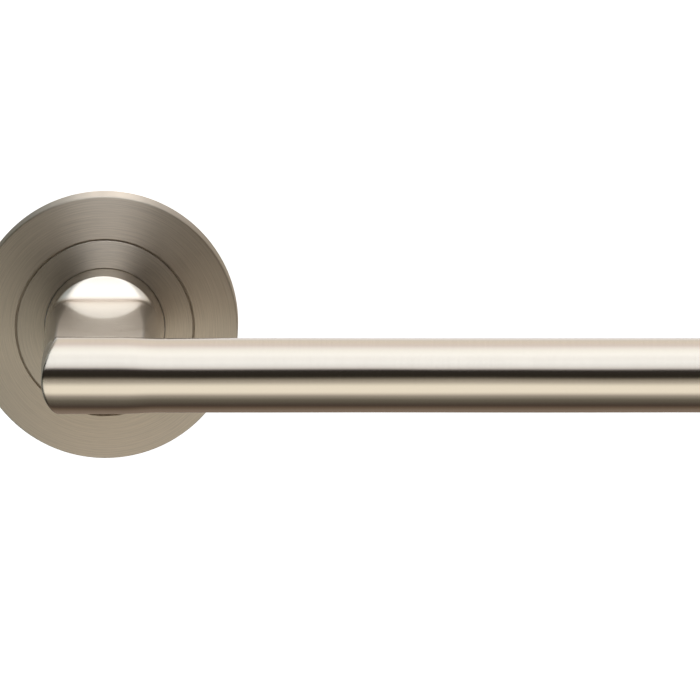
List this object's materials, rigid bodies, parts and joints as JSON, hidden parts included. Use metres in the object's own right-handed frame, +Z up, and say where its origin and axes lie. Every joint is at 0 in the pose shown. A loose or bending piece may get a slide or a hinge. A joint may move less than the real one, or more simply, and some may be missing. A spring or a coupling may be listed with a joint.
{
  "type": "door lever handle",
  "caption": "Round-bar door lever handle with a flat-sided neck, sprung in a round clip-on rose, with its square spindle and fixings.",
  "frame": {"origin": "the spindle's axis where it crosses the door's face, midway between the two fixing bolts", "axes": "+Z up, -Y forward away from the door; the spindle's axis is along Y and the bar points along +X"},
  "size_m": [0.1575, 0.126, 0.051],
  "materials": {
    "satin_nickel": "satin brushed nickel plating, brushed in circles on the rose and lengthwise on the bar",
    "zinc_plated_steel": "clear zinc plating",
    "yellow_zinc_steel": "yellow passivated zinc plating",
    "spring_steel": "bright rolled spring steel",
    "black_steel": "black oxide",
    "zinc_casting": "bare zinc alloy die casting",
    "nylon": "natural nylon moulding",
    "nitrile_rubber": "black nitrile rubber"
  },
  "bodies": {
    "rose": {"base_plate": "zinc_casting", "front_bush": "nylon", "rear_bush": "nylon", "return_spring": "spring_steel", "stop_pins": "zinc_plated_steel", "spring_post": "zinc_plated_steel", "fixing_bolts": "zinc_plated_steel", "bolt_washers": "zinc_plated_steel", "wood_screws": "yellow_zinc_steel", "cover_ring": "nitrile_rubber"},
    "lever": {"grip_bar": "satin_nickel", "neck": "satin_nickel", "spindle": "zinc_plated_steel", "grub_screw": "black_steel", "stop_plate": "zinc_plated_steel", "wave_washer": "spring_steel", "thrust_washer": "zinc_plated_steel", "circlip": "black_steel"},
    "cover": {"rose_cover": "satin_nickel", "collar_disc": "satin_nickel"}
  },
  "joints": [
    {"name": "lever_turn", "type": "hinge", "parent": "rose", "child": "lever", "pos_m": [0, 0, 0], "axis": [0, 1, 0], "range_deg": [0, 45], "stiffness_Nm_per_rad": 0.6, "springref_deg": -68.75, "deforming": ["return_spring"]},
    {"name": "cover_pull", "type": "slide", "parent": "rose", "child": "cover", "axis": [0, -1, 0], "range_m": [0, 0.038]}
  ]
}
